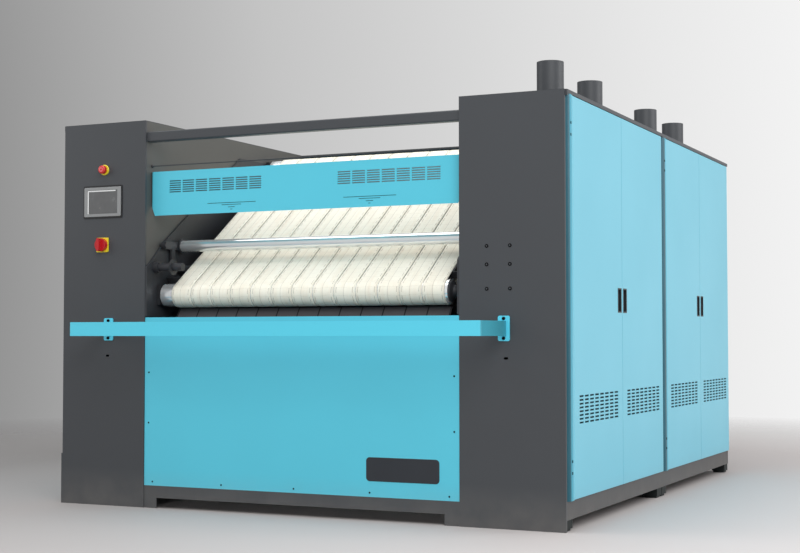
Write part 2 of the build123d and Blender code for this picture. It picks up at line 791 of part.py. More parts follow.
with BuildPart() as finger_tube:
    rod_across(-tube_half, tube_half, tube_depth, tube_height, tube_radius)
    rod_across(-tube_half + tube_plug, tube_half - tube_plug, tube_depth, tube_height,
               tube_radius - tube_wall, Mode.SUBTRACT)
    for side in (-1, 1):
        pin = sorted((side * tube_half, side * arm_outer))
        rod_across(pin[0], pin[1], tube_depth, tube_height, tube_pin)
write(finger_tube, "finger_tube")

# ---------------------------------------------------------------- rolls, padding, chests and their drive
bearing_inner = bay + side_thickness
bearing_width = 80
gearbox_inner = bearing_inner + bearing_width + 10
gearbox_width = 110
journal_left = gearbox_inner + gearbox_width + 10
journal_right = bearing_inner + bearing_width + 6
for number, depth in enumerate(roll_depths, start=1):
    with BuildPart() as roll:
        rod_across(-roll_half, roll_half, depth, roll_height, roll_radius)
        prism_across(-roll_half + roll_wall, roll_half - roll_wall, depth, roll_height,
                     roll_radius - roll_wall, 24, Mode.SUBTRACT)
        rod_across(-journal_left, -roll_half, depth, roll_height, journal_radius)
        rod_across(roll_half, journal_right, depth, roll_height, journal_radius)
    write(roll, f"roll_{number}")

    with BuildPart() as padding:
        rod_across(-roll_half, roll_half, depth, roll_height, padding_radius)
        rod_across(-roll_half, roll_half, depth, roll_height, roll_radius + belt_clearance, Mode.SUBTRACT)
    write(padding, f"padding_{number}")

    chest_inner = padding_radius + chest_clearance
    chest_outer = chest_inner + chest_thickness
    with BuildPart() as chest:
        rod_across(-bay, bay, depth, roll_height, chest_outer)
        rod_across(-bay, bay, depth, roll_height, chest_inner, Mode.SUBTRACT)
        slab(-bay, bay, depth - chest_outer, depth + chest_outer, roll_height, roll_height + chest_outer,
             Mode.SUBTRACT)
        for edge in (depth - chest_outer - 40, depth + chest_inner + 5):
            slab(-bay, bay, edge, edge + 75, roll_height - 6, roll_height)
    write(chest, f"chest_{number}")

with BuildPart() as roll_bearings:
    for depth in roll_depths:
        for side in (-1, 1):
            edges = sorted((side * bearing_inner, side * (bearing_inner + bearing_width)))
            slab(edges[0], edges[1], depth - 110, depth + 110, roll_height - 90, roll_height - 40)
            prism_across(edges[0], edges[1], depth, roll_height, 85, 12)
            rod_across(edges[0], edges[1], depth, roll_height, journal_radius + running_clearance,
                       Mode.SUBTRACT)
write(roll_bearings, "roll_bearings")

with BuildPart() as drive_motors:
    for depth in roll_depths:
        left = -gearbox_inner - gearbox_width
        prism_across(left, -gearbox_inner, depth, roll_height, 120, 12)
        slab(left, -gearbox_inner, depth - 90, depth + 90, roll_height - 300, roll_height)
        rod_across(left, -gearbox_inner, depth, roll_height, journal_radius + running_clearance, Mode.SUBTRACT)
        prism_across(left - 200, left, depth, roll_height - 220, 75, 12)
        slab(-gearbox_inner, -bearing_inner, depth - 30, depth + 30, roll_height - 300, roll_height - 260)
    slab(-motor_inner - 120, -motor_inner, top_roller_depth - 70, top_roller_depth + 70,
         top_roller_height - 90, top_roller_height + 70)
    rod_across(-motor_inner - 120, -motor_inner, top_roller_depth, top_roller_height,
               roller_shaft_radius + running_clearance, Mode.SUBTRACT)
    prism_across(-motor_inner - 320, -motor_inner - 120, top_roller_depth, top_roller_height - 150, 62, 12)
    slab(-motor_inner - 120, -motor_inner, top_roller_depth - 60, top_roller_depth + 60,
         top_roller_height - 210, top_roller_height - 90)
write(drive_motors, "drive_motors")

slide_top = top_roller_height - 30
chest_lip = roll_depths[0] - chest_outer - 40
slide_points = [
    (top_roller_depth + belt_outer + 14, slide_top),
    (top_roller_depth + belt_outer + 17, slide_top),
    (chest_lip + 23, roll_height),
    (chest_lip + 20, roll_height),
]
with BuildPart() as transfer_slide:
    profile_across(slide_points, -bay + cheek_thickness, bay - cheek_thickness)
write(transfer_slide, "transfer_slide")

tray_start = roll_depths[1] + chest_inner + 80
tray_points = [
    (tray_start, roll_height),
    (tray_start + sheet, roll_height),
    (body_depth - frame_face - 20, delivery_height + 220),
    (body_depth + 0, delivery_height + sheet),
    (body_depth + 0, delivery_height),
    (body_depth - frame_face - 23, delivery_height + 216),
    (tray_start, roll_height - 10),
]
with BuildPart() as delivery_slide:
    profile_across(tray_points, -bay, bay)
write(delivery_slide, "delivery_slide")

# ---------------------------------------------------------------- heater and burner
heater_depth = 900
heater_height = 620
heater_radius = 280
with BuildPart() as heater:
    prism_across(-bay + 40, bay - 40, heater_depth, heater_height, heater_radius, 16)
    prism_across(-bay + 20, -bay + 40, heater_depth, heater_height, heater_radius + 20, 16)
    prism_across(bay - 40, bay - 20, heater_depth, heater_height, heater_radius + 20, 16)
    for side in (-1, 1):
        edges = sorted((side * (bay - 20), side * bay))
        rod_across(edges[0], edges[1], heater_depth, heater_height, 110)
write(heater, "heater")

burner_radius = 110
burner_box = 260
burner_inset = 150
burner_length = 240
burner_end = half_width - burner_inset
cap_length = 50
with BuildPart() as burner:
    rod_across(bay + side_thickness, burner_end - burner_length, heater_depth, heater_height, burner_radius)
    slab(burner_end - burner_length, burner_end, heater_depth - burner_box / 2, heater_depth + burner_box / 2,
         heater_height - burner_box / 2, heater_height + burner_box / 2)
    rod_across(burner_end, burner_end + cap_length, heater_depth, heater_height, burner_radius - 20)
write(burner, "burner")

# ---------------------------------------------------------------- controls on the left column
gasket_proud = 3
pane_width = 212
pane_height = 137
pane_sunk = 1.5
bezel_proud = 9
with BuildPart() as operator_panel:
    panel_back(-panel_centre, screen_centre, screen_width + 16, screen_height + 19, -gasket_proud, 0, 8)
    panel_back(-panel_centre, screen_centre, screen_width, screen_height, -bezel_proud, -gasket_proud, 6)
    fillet(operator_panel.faces().sort_by(Axis.Y)[0].edges(), 3)
    panel_back(-panel_centre, screen_centre, screen_width - 34, screen_height - 34, 0, 60, 4)
    panel_back(-panel_centre, screen_centre, pane_width, pane_height, -bezel_proud, -bezel_proud + pane_sunk,
               2, Mode.SUBTRACT)
write(operator_panel, "operator_panel")

stop_travel = 6
stop_base = 8
with BuildPart() as stop_button_base:
    rod_back(-stop_line, stop_centre, -stop_base, 0, 30)
    chamfer(stop_button_base.faces().sort_by(Axis.Y)[0].edges(), 2)
    rod_back(-stop_line, stop_centre, 0, 40, 11)
    rod_back(-stop_line, stop_centre, sheet, sheet + 6, 16)
    rod_back(-stop_line, stop_centre, -stop_base, 32, 8 + running_clearance, Mode.SUBTRACT)
write(stop_button_base, "stop_button_base")

with BuildPart() as stop_button:
    rod_back(-stop_line, stop_centre, -stop_base - stop_travel - 24, -stop_base - stop_travel - 1, 24)
    fillet(stop_button.faces().sort_by(Axis.Y)[0].edges(), 10)
    rod_back(-stop_line, stop_centre, -stop_base - stop_travel - 1, 20, 8)
write(stop_button, "stop_button")

switch_plate = 6
with BuildPart() as main_switch_plate:
    panel_back(-panel_centre, switch_centre, switch_width, switch_width, -switch_plate, 0, 8)
    rod_back(-panel_centre, switch_centre, 0, 50, 11)
    rod_back(-panel_centre, switch_centre, sheet, sheet + 6, 18)
    rod_back(-panel_centre, switch_centre, -switch_plate, 30, 5 + running_clearance, Mode.SUBTRACT)
write(main_switch_plate, "main_switch_plate")

knob_gap = 0.3
knob_radius = 38
knob_proud = 22
grip_width = 18
grip_length = 75
grip_proud = 46
with BuildPart() as main_switch_knob:
    rod_back(-panel_centre, switch_centre, -switch_plate - knob_proud, -switch_plate - knob_gap, knob_radius)
    panel_back(-panel_centre, switch_centre, grip_width, grip_length, -switch_plate - grip_proud,
               -switch_plate - knob_proud, 8)
    rod_back(-panel_centre, switch_centre, -switch_plate - knob_gap, 20, 5)
write(main_switch_knob, "main_switch_knob")
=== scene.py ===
import math

import bmesh
import bpy
from mathutils import Matrix, Vector


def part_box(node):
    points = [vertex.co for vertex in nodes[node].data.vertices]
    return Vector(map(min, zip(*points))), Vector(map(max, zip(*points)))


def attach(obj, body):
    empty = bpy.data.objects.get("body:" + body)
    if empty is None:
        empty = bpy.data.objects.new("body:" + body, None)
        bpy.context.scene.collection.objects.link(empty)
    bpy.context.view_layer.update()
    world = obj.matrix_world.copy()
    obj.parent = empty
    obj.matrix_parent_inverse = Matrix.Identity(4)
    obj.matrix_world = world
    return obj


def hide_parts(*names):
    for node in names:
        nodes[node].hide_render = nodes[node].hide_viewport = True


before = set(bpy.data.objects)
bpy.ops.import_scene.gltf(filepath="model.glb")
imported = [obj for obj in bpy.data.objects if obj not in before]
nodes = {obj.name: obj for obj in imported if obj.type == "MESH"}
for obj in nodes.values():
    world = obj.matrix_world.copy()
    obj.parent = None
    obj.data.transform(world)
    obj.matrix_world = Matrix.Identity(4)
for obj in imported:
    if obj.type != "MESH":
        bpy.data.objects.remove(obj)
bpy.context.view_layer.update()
print("frame loaded,", len(nodes), "parts")


class Tone:
    # wraps a value socket, so that shader maths reads like ordinary sums
    def __init__(self, finish, socket):
        self.finish = finish
        self.socket = socket

    def sum(self, operation, first, second=None, clamp=False):
        values = {0: first} if second is None else {0: first, 1: second}
        made = self.finish.node("ShaderNodeMath", {"operation": operation, "use_clamp": clamp}, values)
        return Tone(self.finish, made.outputs[0])

    def __add__(self, other):
        return self.sum("ADD", self, other)

    def __radd__(self, other):
        return self.sum("ADD", other, self)

    def __sub__(self, other):
        return self.sum("SUBTRACT", self, other)

    def __rsub__(self, other):
        return self.sum("SUBTRACT", other, self)

    def __mul__(self, other):
        return self.sum("MULTIPLY", self, other)

    def __rmul__(self, other):
        return self.sum("MULTIPLY", other, self)

    def __truediv__(self, other):
        return self.sum("DIVIDE", self, other)

    def __rtruediv__(self, other):
        return self.sum("DIVIDE", other, self)

    def __mod__(self, other):
        return self.sum("FLOORED_MODULO", self, other)

    def __rmod__(self, other):
        return self.sum("FLOORED_MODULO", other, self)

    def __lt__(self, other):
        return self.sum("LESS_THAN", self, other)

    def __gt__(self, other):
        return self.sum("GREATER_THAN", self, other)

    def __abs__(self):
        return self.sum("ABSOLUTE", self)

    def sine(self):
        return self.sum("SINE", self)

    def root(self):
        return self.sum("SQRT", self)

    def held(self):
        # kept between 0 and 1
        return self.sum("ADD", self, 0.0, clamp=True)

    def ramp(self, low, high):
        # 0 up to low, 1 from high on
        made = self.finish.node("ShaderNodeMapRange", {"clamp": True},
                                {0: self, 1: low, 2: high, 3: 0.0, 4: 1.0})
        return Tone(self.finish, made.outputs[0])


class Network:
    # a shader tree, with one method that makes every node
    def __init__(self, tree):
        self.tree = tree
        self.tree.nodes.clear()

    def node(self, kind, settings=None, inputs=None):
        made = self.tree.nodes.new(kind)
        for key, value in (settings or {}).items():
            if key == "stops":
                self.setStops(made.color_ramp, value)
            else:
                setattr(made, key, value)
        for key, value in (inputs or {}).items():
            self.feed(made.inputs[key], value)
        return made

    def setStops(self, ramp, stops):
        while len(ramp.elements) < len(stops):
            ramp.elements.new(0.5)
        for element, (place, colour) in zip(ramp.elements, stops):
            element.position = place
            element.color = colour

    def feed(self, socket, value):
        if isinstance(value, Tone):
            self.tree.links.new(value.socket, socket)
        elif isinstance(value, bpy.types.NodeSocket):
            self.tree.links.new(value, socket)
        else:
            socket.default_value = value

    def axes(self, vector):
        parts = self.node("ShaderNodeSeparateXYZ", {}, {0: vector})
        return [Tone(self, socket) for socket in parts.outputs]


class Finish(Network):
    # one procedural material: a main shader, and the nodes that feed it
    def __init__(self, name, **sockets):
        self.material = bpy.data.materials.new(name)
        self.material.use_nodes = True
        super().__init__(self.material.node_tree)
        self.shader = self.node("ShaderNodeBsdfPrincipled")
        self.node("ShaderNodeOutputMaterial", {}, {"Surface": self.shader.outputs[0]})
        self.set(**sockets)

    def set(self, **sockets):
        for socketName, value in sockets.items():
            self.feed(self.shader.inputs[socketName.replace("_", " ")], value)
        return self.material

    def place(self):
        # object coordinates, in metres in the shared frame
        return self.node("ShaderNodeTexCoord").outputs["Object"]

    def scaled(self, vector, scale):
        made = self.node("ShaderNodeVectorMath", {"operation": "MULTIPLY"}, {0: vector, 1: scale})
        return made.outputs[0]

    def noise(self, vector, scale, detail=3.0, roughness=0.5):
        made = self.node("ShaderNodeTexNoise", {}, {"Vector": vector, "Scale": scale, "Detail": detail,
                                                    "Roughness": roughness})
        return Tone(self, made.outputs["Fac"])

    def mix(self, factor, first, second):
        made = self.node("ShaderNodeMix", {"data_type": "RGBA"}, {0: factor, 6: first, 7: second})
        return made.outputs[2]

    def bump(self, height, strength, distance):
        made = self.node("ShaderNodeBump", {}, {"Height": height, "Strength": strength, "Distance": distance})
        self.feed(self.shader.inputs["Normal"], made.outputs[0])


def rgb(red, green, blue):
    # a colour as it reads on a screen, turned to the linear values that shaders use
    def linear(part):
        part = part / 255
        return part / 12.92 if part <= 0.04045 else ((part + 0.055) / 1.055) ** 2.4
    return (linear(red), linear(green), linear(blue), 1.0)


def shaded(colour, factor):
    return tuple(min(1.0, part * factor) for part in colour[:3]) + (1.0,)


powder = {
    "cloudScale": 1.3, "glintSpeckScale": 420.0, "peelScale": 240.0, "peelHeight": 0.0004, "peelStrength": 0.25,
    "dust": rgb(150, 145, 138), "dustScale": 9.0, "dustTop": 0.22, "dustShare": 0.35,   # near the floor
}


def powderCoat(name, colour, roughness):
    # sheet metal's powder coat: orange peel, faint clouds, specks painted brighter as painted glints, and
    # dust low down
    finish = Finish(name, Specular_IOR_Level=0.45)
    place = finish.place()
    cloud = finish.noise(place, powder["cloudScale"], 2.0)
    glintSpeck = finish.noise(place, powder["glintSpeckScale"], 2.0)
    peel = finish.noise(place, powder["peelScale"], 3.0, 0.55)
    height = finish.axes(place)[2]
    dust = (1.0 - height.ramp(0.0, powder["dustTop"])) * finish.noise(place, powder["dustScale"], 5.0)
    body = finish.mix(cloud.ramp(0.35, 0.7) * 0.6, colour, shaded(colour, 0.94))
    # specks painted brighter: painted glints
    body = finish.mix(glintSpeck.ramp(0.62, 0.72) * 0.12, body, shaded(colour, 1.25))
    body = finish.mix((dust * powder["dustShare"]).held(), body, powder["dust"])
    finish.bump(peel, powder["peelStrength"], powder["peelHeight"])
    return finish.set(Base_Color=body, Roughness=roughness + (cloud - 0.5) * 0.10 + (glintSpeck - 0.5) * 0.08)


enamel = {"cloudScale": 4.0, "gritScale": 300.0, "gritHeight": 0.0003, "rubScale": 24.0,
          "rubStretch": (1.0, 1.0, 6.0)}


def darkEnamel(name, colour, roughness=0.5, shine=0.4):
    # brushed-on enamel, a little gritty and rubbed bright in places
    finish = Finish(name, Specular_IOR_Level=shine)
    place = finish.place()
    cloud = finish.noise(place, enamel["cloudScale"], 4.0)
    grit = finish.noise(place, enamel["gritScale"], 3.0)
    rub = finish.noise(finish.scaled(place, enamel["rubStretch"]), enamel["rubScale"], 6.0, 0.65)
    body = finish.mix(cloud, shaded(colour, 0.85), shaded(colour, 1.15))
    body = finish.mix(rub.ramp(0.66, 0.78) * 0.25, body, shaded(colour, 2.0))
    finish.bump(grit, 0.3, enamel["gritHeight"])
    return finish.set(Base_Color=body, Roughness=roughness + (cloud - 0.5) * 0.14 + (grit - 0.5) * 0.1)


steel = {"streakScale": 9.0, "streakHeight": 0.0003, "cloudScale": 3.0, "along": (1.0, 60.0, 60.0)}


def brushedSteel(name, colour, along, roughness):
    finish = Finish(name, Metallic=1.0)
    place = finish.place()
    streak = finish.noise(finish.scaled(place, along), steel["streakScale"], 5.0, 0.6)
    cloud = finish.noise(place, steel["cloudScale"], 3.0)
    body = finish.mix(streak.ramp(0.3, 0.75), shaded(colour, 0.82), shaded(colour, 1.08))
    finish.bump(streak, 0.12, steel["streakHeight"])
    return finish.set(Base_Color=body, Roughness=roughness + (streak - 0.5) * 0.22 + (cloud - 0.5) * 0.1)


chrome = {"bright": rgb(252, 254, 255), "hazy": rgb(234, 239, 242), "hazeScale": 6.0,
          "hazeStretch": (2.0, 40.0, 40.0), "scuffScale": 60.0, "scuffHeight": 0.0002, "roughness": 0.09}


def polishedChrome(name):
    # hard chrome on the rollers and the tube, with haze round them and fine scuffs
    finish = Finish(name, Metallic=0.7, Specular_IOR_Level=0.8)
    place = finish.place()
    haze = finish.noise(finish.scaled(place, chrome["hazeStretch"]), chrome["hazeScale"], 4.0)
    scuff = finish.noise(place, chrome["scuffScale"], 5.0, 0.7)
    body = finish.mix(haze.ramp(0.4, 0.7) * 0.4, chrome["bright"], chrome["hazy"])
    finish.bump(scuff, 0.04, chrome["scuffHeight"])
    return finish.set(Base_Color=body,
                      Roughness=chrome["roughness"] + haze * 0.07 + scuff.ramp(0.6, 0.8) * 0.05)


plastic = {"textureScale": 900.0, "textureHeight": 0.0002, "cloudScale": 12.0}


def mouldedPlastic(name, colour, roughness, grain, coat=0.0):
    finish = Finish(name, Specular_IOR_Level=0.5)
    place = finish.place()
    texture = finish.noise(place, plastic["textureScale"], 2.0)
    cloud = finish.noise(place, plastic["cloudScale"], 3.0)
    body = finish.mix(cloud * 0.5, colour, shaded(colour, 0.9))
    finish.bump(texture, grain, plastic["textureHeight"])
    return finish.set(Base_Color=body, Roughness=roughness + (texture - 0.5) * 0.1, Coat_Weight=coat)


touchPanel = {"frame": rgb(146, 148, 149), "frameShade": rgb(134, 136, 138), "gasket": rgb(24, 25, 27),
              "gasketFront": 0.0025}   # the gasket starts this far behind the front of the switch plate


def panelFrame(name, gasketShadowLine):
    # a light grey frame in front of a black gasket, whose black also stands as painted shadow round the frame
    finish = Finish(name, Specular_IOR_Level=0.5)
    place = finish.place()
    depth = finish.axes(place)[1]
    texture = finish.noise(place, plastic["textureScale"], 2.0)
    cloud = finish.noise(place, plastic["cloudScale"], 3.0)
    body = finish.mix(cloud * 0.4, touchPanel["frame"], touchPanel["frameShade"])
    # black behind the gasket line: the gasket, and painted shadow round the frame
    body = finish.mix(depth > gasketShadowLine, body, touchPanel["gasket"])
    finish.bump(texture, 0.2, plastic["textureHeight"])
    return finish.set(Base_Color=body, Roughness=0.42 + (texture - 0.5) * 0.1)


# ring is the colour of a painted highlight: the pale band of gloss on the button
stopButton = {"red": rgb(214, 40, 40), "redShade": rgb(196, 30, 30), "ring": rgb(240, 150, 150),
              "highlightInner": 0.0075, "highlightOuter": 0.0125, "textureScale": 700.0, "height": 0.0004}


def stopRed(name, centre):
    # red plastic, with a paler ring on the button's face that is a painted highlight of its gloss, also sunk
    # a little into the face
    finish = Finish(name, Specular_IOR_Level=0.5, Coat_Weight=0.4)
    place = finish.place()
    x, _, z = finish.axes(place)
    away = ((x - centre.x) * (x - centre.x) + (z - centre.z) * (z - centre.z)).root()
    ring = (away > stopButton["highlightInner"]) * (away < stopButton["highlightOuter"])
    texture = finish.noise(place, stopButton["textureScale"], 2.0)
    body = finish.mix(texture * 0.5, stopButton["red"], stopButton["redShade"])
    # paint the highlight ring
    body = finish.mix(ring * 0.7, body, stopButton["ring"])
    finish.bump(texture * 0.2 - ring, 0.3, stopButton["height"])
    return finish.set(Base_Color=body, Roughness=0.3 + (texture - 0.5) * 0.12)


# deep and middle are painted shade on the post's turn to the front, pale is its painted light
post = {"deep": rgb(14, 84, 100), "middle": rgb(54, 166, 192), "pale": rgb(128, 204, 224),
        "cloud": rgb(70, 150, 170), "cloudScale": 2.2, "peelScale": 420.0, "peelHeight": 0.0003,
        "frontShadeTurns": ((0.28, 0.5), (0.72, 0.95)), "rearShadeTurns": ((0.62, 0.8), (0.88, 1.0))}


def postShadedPaint(name, node, turns):
    # powder coat on a rolled door post, its tone painted as light and shade: deep blue painted shade where it
    # turns to the front, pale painted light beside the door
    finish = Finish(name, Specular_IOR_Level=0.45)
    place = finish.place()
    low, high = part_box(node)
    share = (finish.axes(place)[1] - low.y) / (high.y - low.y)
    peel = finish.noise(place, post["peelScale"], 2.0)
    cloud = finish.noise(place, post["cloudScale"], 4.0, 0.6)
    body = finish.mix(share.ramp(*turns[0]), post["deep"], post["middle"])
    body = finish.mix(share.ramp(*turns[1]), body, post["pale"])
    body = finish.mix(cloud.ramp(0.45, 0.8) * 0.12, body, post["cloud"])
    finish.bump(peel, 0.2, post["peelHeight"])
    return finish.set(Base_Color=body, Roughness=0.4 + (peel - 0.5) * 0.12 + (cloud - 0.5) * 0.08)


# front is a lit copy of the blue and side a shaded copy: painted light and shade
rail = {"front": rgb(94, 216, 242), "side": rgb(66, 162, 182), "rubbed": rgb(80, 180, 200),
        "rubScale": 30.0, "peelScale": 420.0, "peelHeight": 0.0003}


def railShadedPaint(name):
    # powder coat on the bent rail, with painted shade: deeper on the faces that look to the sides, and a
    # brighter painted light on the faces to the front
    finish = Finish(name, Specular_IOR_Level=0.45)
    place = finish.place()
    turned = finish.axes(finish.node("ShaderNodeTexCoord").outputs["Normal"])[0]
    peel = finish.noise(place, rail["peelScale"], 2.0)
    rub = finish.noise(place, rail["rubScale"], 5.0, 0.7)
    # painted shade by how far each face looks to the side
    body = finish.mix(abs(turned).ramp(0.3, 0.9), rail["front"], rail["side"])
    body = finish.mix(rub.ramp(0.62, 0.78) * 0.2, body, rail["rubbed"])
    finish.bump(peel, 0.2, rail["peelHeight"])
    return finish.set(Base_Color=body, Roughness=0.38 + (peel - 0.5) * 0.12 + rub.ramp(0.5, 0.8) * 0.08)


# joint is a painted shadow under each gap between belts; the low part's paler grey is painted light
bedPlate = {"enamel": rgb(46, 47, 50), "enamelPale": rgb(58, 59, 62), "litLowPart": rgb(88, 85, 88),
            "joint": rgb(28, 27, 28), "beltGapPitch": 0.1308, "beltGapShadowShare": 0.028, "litLowPartTop": 1.16,
            "cloudScale": 5.0, "gritScale": 300.0, "height": 0.0004}


def ribbedPlate(name):
    # dark enamel above; below the roller a grey plate painted paler as painted light, with a painted shadow
    # line under each gap between belts
    finish = Finish(name, Specular_IOR_Level=0.35)
    place = finish.place()
    x, _, z = finish.axes(place)
    cloud = finish.noise(place, bedPlate["cloudScale"], 4.0)
    grit = finish.noise(place, bedPlate["gritScale"], 3.0)
    pitches = x / bedPlate["beltGapPitch"] + 50.0   # kept above zero, so that each share is counted upwards
    # the painted shadow lines, one under each gap between belts
    joint = abs(pitches % 1.0 - 0.5) < bedPlate["beltGapShadowShare"]
    low = z < bedPlate["litLowPartTop"]
    body = finish.mix(cloud, bedPlate["enamel"], bedPlate["enamelPale"])
    body = finish.mix(low, body, bedPlate["litLowPart"])
    body = finish.mix(joint * low, body, bedPlate["joint"])
    finish.bump(grit * 0.4 - joint * low, 0.3, bedPlate["height"])
    return finish.set(Base_Color=body, Roughness=0.5 + (cloud - 0.5) * 0.14)


# gap and wire are dark painted shade for the inside of the cabinet
screenWire = {"gap": rgb(14, 40, 46), "wire": rgb(26, 58, 66), "dust": rgb(60, 84, 88), "dustScale": 18.0,
              "cell": 0.004, "height": 0.0006}


def shadeMeshScreen(name):
    # a dark sheet of woven wire behind the door vents, painted shade standing for the cabinet's dark inside,
    # with dust on it
    finish = Finish(name, Specular_IOR_Level=0.1)
    place = finish.place()
    _, y, z = finish.axes(place)
    turns = math.tau / screenWire["cell"]
    wire = (y * turns).sine() * (z * turns).sine()
    dust = finish.noise(place, screenWire["dustScale"], 5.0, 0.7)
    body = finish.mix(wire * 0.5 + 0.5, screenWire["gap"], screenWire["wire"])
    body = finish.mix(dust.ramp(0.55, 0.8) * 0.3, body, screenWire["dust"])
    finish.bump(wire, 0.4, screenWire["height"])
    return finish.set(Base_Color=body, Roughness=0.7 + (dust - 0.5) * 0.2)


beltCloth = {
    "cream": rgb(255, 252, 238), "shade": rgb(246, 240, 222), "warm": rgb(236, 222, 200),
    "thread": rgb(186, 176, 150), "seamLine": rgb(128, 116, 92), "weavePitch": 0.0042, "height": 0.0009,
    "seamFromMiddle": 0.0495, "seamWidth": 0.0014, "stitchRate": 120.0,
    "jointOffset": 0.004, "jointWidth": 0.0013, "patchPitch": 0.045, "patchShare": 0.02, "patchWander": 0.03,
}


def feltBelt(name):
    # woven felt: a fine weave, a stitched line inside each edge, a joint along the middle and cross lines
    finish = Finish(name, Specular_IOR_Level=0.15, Sheen_Weight=0.25)
    run = finish.node("ShaderNodeAttribute", {"attribute_name": "run"}).outputs["Vector"]
    across, along, _ = finish.axes(run)

    def stretched(scale):
        return finish.scaled(run, scale)

    turns = math.tau / beltCloth["weavePitch"]
    weave = (across * turns).sine() * (along * turns).sine()
    edge = abs(abs(across) - beltCloth["seamFromMiddle"])
    stitch = (edge < beltCloth["seamWidth"]) * ((along * beltCloth["stitchRate"]).sine() > -0.35)
    middle = abs(across + beltCloth["jointOffset"]) < beltCloth["jointWidth"]
    wobble = finish.noise(stretched((9.0, 3.0, 7.0)), 1.0, 3.0)
    lines = (along + wobble * beltCloth["patchWander"] + 5.0) / beltCloth["patchPitch"]
    patch = abs(lines % 1.0 - 0.5) < beltCloth["patchShare"]
    stain = finish.noise(stretched((6.0, 1.1, 3.7)), 1.0, 5.0, 0.6)
    plank = finish.noise(stretched((40.0, 5.0, 9.0)), 1.0, 3.0, 0.5)
    fleck = finish.noise(stretched((70.0, 28.0, 3.0)), 2.0, 2.0, 0.7)
    body = finish.mix(stain.ramp(0.35, 0.7) * 0.55, beltCloth["cream"], beltCloth["shade"])
    body = finish.mix(plank.ramp(0.45, 0.7) * 0.35, body, beltCloth["warm"])
    body = finish.mix(fleck.ramp(0.62, 0.75) * 0.35, body, beltCloth["thread"])
    body = finish.mix((weave * 0.5 + 0.5) * 0.14, body, beltCloth["shade"])
    body = finish.mix(((stitch + middle * 0.6 + patch * 0.3) * 0.6).held(), body, beltCloth["seamLine"])
    finish.bump(weave * 0.5 - stitch * 1.2 - middle * 0.8 + stain, 0.35, beltCloth["height"])
    return finish.set(Base_Color=body, Roughness=0.86 + stain * 0.1)


padCloth = {"cream": rgb(236, 231, 214), "scorched": rgb(206, 192, 164), "thread": rgb(188, 180, 158),
            "weaveRate": 900.0, "stainStretch": (1.0, 3.0, 3.0), "height": 0.0006}


def wovenPad(name):
    # roll cloth, scorched in soft patches
    finish = Finish(name, Specular_IOR_Level=0.15, Sheen_Weight=0.3)
    place = finish.place()
    x, y, z = finish.axes(place)
    weave = (x * padCloth["weaveRate"]).sine() * ((y + z) * padCloth["weaveRate"]).sine()
    stain = finish.noise(finish.scaled(place, padCloth["stainStretch"]), 3.0, 5.0, 0.6)
    body = finish.mix(stain.ramp(0.4, 0.75) * 0.6, padCloth["cream"], padCloth["scorched"])
    body = finish.mix((weave * 0.5 + 0.5) * 0.2, body, padCloth["thread"])
    finish.bump(weave, 0.3, padCloth["height"])
    return finish.set(Base_Color=body, Roughness=0.9 + (stain - 0.5) * 0.1)


columnPaint = powderCoat("columnPaint", rgb(67, 70, 74), 0.46)
bluePaint = powderCoat("bluePaint", rgb(92, 206, 230), 0.40)
# a paler, lit copy of the blue for the side covers and doors: painted light on the side faces
sideLitBluePaint = powderCoat("sideLitBluePaint", rgb(120, 202, 224), 0.40)
plinthPaint = powderCoat("plinthPaint", rgb(72, 71, 72), 0.5)
roofPaint = powderCoat("roofPaint", rgb(62, 65, 69), 0.46)
cheekPaint = darkEnamel("cheekPaint", rgb(52, 54, 58))
linerPaint = darkEnamel("linerPaint", rgb(84, 84, 82), 0.55)
bearingPaint = darkEnamel("bearingPaint", rgb(42, 43, 46), 0.45)
guardPaint = darkEnamel("guardPaint", rgb(50, 51, 55), 0.42)
motorPaint = darkEnamel("motorPaint", rgb(84, 100, 120), 0.45)
platePaint = darkEnamel("platePaint", rgb(44, 48, 54), 0.35)
screwBlack = darkEnamel("screwBlack", rgb(9, 9, 10), 0.55, 0.1)
feetPaint = darkEnamel("feetPaint", rgb(38, 43, 43), 0.6, 0.2)
plainSteel = brushedSteel("plainSteel", rgb(176, 178, 180), steel["along"], 0.34)
zincPlate = brushedSteel("zincPlate", rgb(190, 192, 190), (30.0, 30.0, 30.0), 0.3)
chromePlate = polishedChrome("chromePlate")
frontPostShadedPaint = postShadedPaint("frontPostShadedPaint", "post_right_front", post["frontShadeTurns"])
rearPostShadedPaint = postShadedPaint("rearPostShadedPaint", "post_right_rear", post["rearShadeTurns"])
bentRailShadedPaint = railShadedPaint("bentRailShadedPaint")
bedPaint = ribbedPlate("bedPaint")
ventShadeScreen = shadeMeshScreen("ventShadeScreen")
beltMaterial = feltBelt("beltFelt")
padMaterial = wovenPad("padCloth")
pullPlastic = mouldedPlastic("pullPlastic", rgb(34, 36, 40), 0.45, 0.35)
yellowPlastic = mouldedPlastic("yellowPlastic", rgb(246, 224, 44), 0.32, 0.15, 0.3)
redPlastic = mouldedPlastic("redPlastic", rgb(196, 26, 34), 0.28, 0.1, 0.4)
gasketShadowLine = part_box("main_switch_plate")[0].y + touchPanel["gasketFront"]
framePlastic = panelFrame("framePlastic", gasketShadowLine)
stopPlastic = stopRed("stopPlastic", (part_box("stop_button")[0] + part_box("stop_button")[1]) / 2)
print("materials ready")

